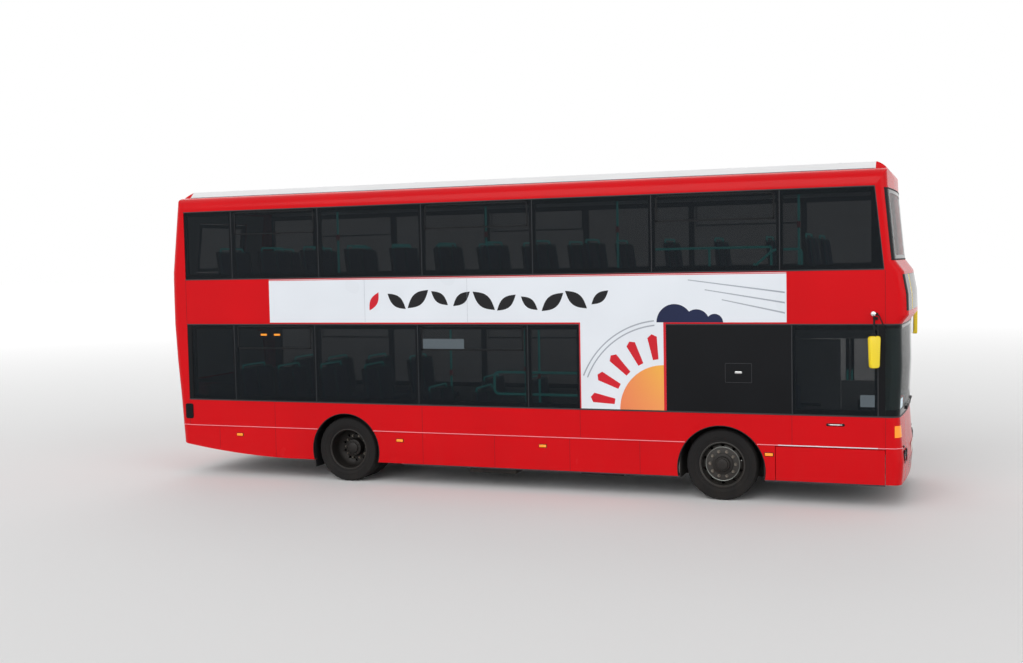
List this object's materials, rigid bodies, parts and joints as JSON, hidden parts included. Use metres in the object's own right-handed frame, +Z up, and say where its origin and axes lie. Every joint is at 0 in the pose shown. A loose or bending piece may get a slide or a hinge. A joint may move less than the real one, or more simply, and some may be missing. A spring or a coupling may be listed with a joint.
{
  "type": "double decker bus",
  "caption": "Low-floor double decker city bus with two nearside doorways, offside cab, steered front wheels, rear twins and opening doors and lids.",
  "frame": {"origin": "on the ground under the middle of the whole bus, mirrors counted", "axes": "+X forward along the bus, +Y to its nearside (kerb side), +Z up"},
  "size_m": [10.8698, 2.9488, 4.3499],
  "materials": {
    "body_red": "glossy red paint",
    "roof_white": "satin white roof paint",
    "black_trim": "gloss black panels and rubber edges",
    "glass": "lightly tinted safety glass",
    "chassis_black": "black chassis paint with road dust",
    "tyre": "worn black tyre rubber",
    "wheel_steel": "dark grey wheel paint, bright rim edge",
    "floor": "dark speckled floor covering",
    "interior_panel": "pale grey moulded panels",
    "seat_fabric": "dark blue seat fabric",
    "handrail": "teal coated tube",
    "lamp_clear": "clear lamp glass",
    "lamp_amber": "amber lens",
    "lamp_red": "red lens",
    "display": "blank black display",
    "mirror_yellow": "yellow mirror shell",
    "engine": "dark cast block",
    "cab_trim": "dark grey cab mouldings"
  },
  "bodies": {
    "bodywork": {"chassis_frame": "chassis_black", "lower_floor": "floor", "rear_floor": "floor", "wheel_boxes": "floor", "cab_platform": "floor", "engine_bulkhead": "chassis_black", "upper_floor": "floor", "offside_lower_panels": "body_red", "nearside_lower_panels": "body_red", "side_bands": "body_red", "lower_window_frames": "black_trim", "upper_window_frames": "black_trim", "side_glazing": "glass", "blank_panels": "black_trim", "roof_panel": "roof_white", "roof_coves": "body_red", "roof_domes": "body_red", "front_dash_panel": "body_red", "front_band": "body_red", "windscreen": "glass", "windscreen_frame": "black_trim", "upper_windscreen": "glass", "headlamps": "lamp_clear", "side_lamps": "lamp_amber", "tail_lamps": "lamp_red", "rear_lower_panel": "body_red", "rear_upper_panel": "body_red", "destination_displays": "display", "staircase": "interior_panel", "passenger_seats": "seat_fabric", "driver_seat": "seat_fabric", "dashboard": "cab_trim", "cab_partition": "interior_panel", "handrails": "handrail", "mirrors": "mirror_yellow", "wipers": "black_trim", "engine_block": "engine", "front_axle": "chassis_black", "rear_axle": "chassis_black"},
    "left_steering": {"left_knuckle": "chassis_black"},
    "right_steering": {"right_knuckle": "chassis_black"},
    "front_left_roller": {"front_left_tyre": "tyre", "front_left_wheel": "wheel_steel"},
    "front_right_roller": {"front_right_tyre": "tyre", "front_right_wheel": "wheel_steel"},
    "rear_left_roller": {"rear_left_tyres": "tyre", "rear_left_wheels": "wheel_steel"},
    "rear_right_roller": {"rear_right_tyres": "tyre", "rear_right_wheels": "wheel_steel"},
    "front_door_front": {"front_door_front_leaf": "black_trim"},
    "front_door_rear": {"front_door_rear_leaf": "black_trim"},
    "centre_door_front": {"centre_door_front_leaf": "black_trim"},
    "centre_door_rear": {"centre_door_rear_leaf": "black_trim"},
    "cab_door_panel": {"cab_door": "interior_panel"},
    "engine_lid": {"engine_cover": "body_red"},
    "emergency_exit": {"emergency_window": "glass", "emergency_window_frame": "black_trim"},
    "skirt_lid": {"skirt_flap": "body_red"}
  },
  "joints": [
    {"name": "steer_left", "type": "hinge", "parent": "bodywork", "child": "left_steering", "pos_m": [3.06, 0.99, 0.47], "axis": [0, 0, 1], "range_deg": [-45, 45]},
    {"name": "steer_right", "type": "hinge", "parent": "bodywork", "child": "right_steering", "pos_m": [3.06, -0.99, 0.47], "axis": [0, 0, 1], "range_deg": [-45, 45]},
    {"name": "front_left_roll", "type": "hinge", "parent": "left_steering", "child": "front_left_roller", "pos_m": [3.06, 1.08, 0.47066], "axis": [0, 1, -0.0087], "continuous": true},
    {"name": "rear_left_roll", "type": "hinge", "parent": "bodywork", "child": "rear_left_roller", "pos_m": [-2.44, 0.929, 0.47], "axis": [0, 1, 0], "continuous": true},
    {"name": "front_right_roll", "type": "hinge", "parent": "right_steering", "child": "front_right_roller", "pos_m": [3.06, -1.08, 0.47066], "axis": [0, 1, 0.0087], "continuous": true},
    {"name": "rear_right_roll", "type": "hinge", "parent": "bodywork", "child": "rear_right_roller", "pos_m": [-2.44, -0.929, 0.47], "axis": [0, 1, 0], "continuous": true},
    {"name": "front_door_front_swing", "type": "hinge", "parent": "bodywork", "child": "front_door_front", "pos_m": [5.038, 1.245, 1.3], "axis": [0, 0, 1], "range_deg": [0, 90]},
    {"name": "front_door_rear_swing", "type": "hinge", "parent": "bodywork", "child": "front_door_rear", "pos_m": [3.902, 1.245, 1.3], "axis": [0, 0, -1], "range_deg": [0, 90]},
    {"name": "centre_door_front_swing", "type": "hinge", "parent": "bodywork", "child": "centre_door_front", "pos_m": [1.668, 1.245, 1.3], "axis": [0, 0, 1], "range_deg": [0, 90]},
    {"name": "centre_door_rear_swing", "type": "hinge", "parent": "bodywork", "child": "centre_door_rear", "pos_m": [0.502, 1.245, 1.3], "axis": [0, 0, -1], "range_deg": [0, 90]},
    {"name": "cab_door_swing", "type": "hinge", "parent": "bodywork", "child": "cab_door_panel", "pos_m": [3.78, -0.15, 1.2], "axis": [0, 0, 1], "range_deg": [0, 85]},
    {"name": "engine_cover_lift", "type": "hinge", "parent": "bodywork", "child": "engine_lid", "pos_m": [-5.3681, 0, 1.294], "axis": [0, 1, 0], "range_deg": [0, 90]},
    {"name": "emergency_window_lift", "type": "hinge", "parent": "bodywork", "child": "emergency_exit", "pos_m": [-5.3377, 0, 3.864], "axis": [0, 1, 0], "range_deg": [0, 60]},
    {"name": "skirt_flap_lift", "type": "hinge", "parent": "bodywork", "child": "skirt_lid", "pos_m": [4.435, -1.275, 0.749], "axis": [-1, 0, 0], "range_deg": [0, 80]}
  ],
  "couplings": [
    {"joint": "steer_right", "follows": "steer_left", "ratio": 1},
    {"joint": "front_door_rear_swing", "follows": "front_door_front_swing", "ratio": 1},
    {"joint": "centre_door_rear_swing", "follows": "centre_door_front_swing", "ratio": 1}
  ]
}
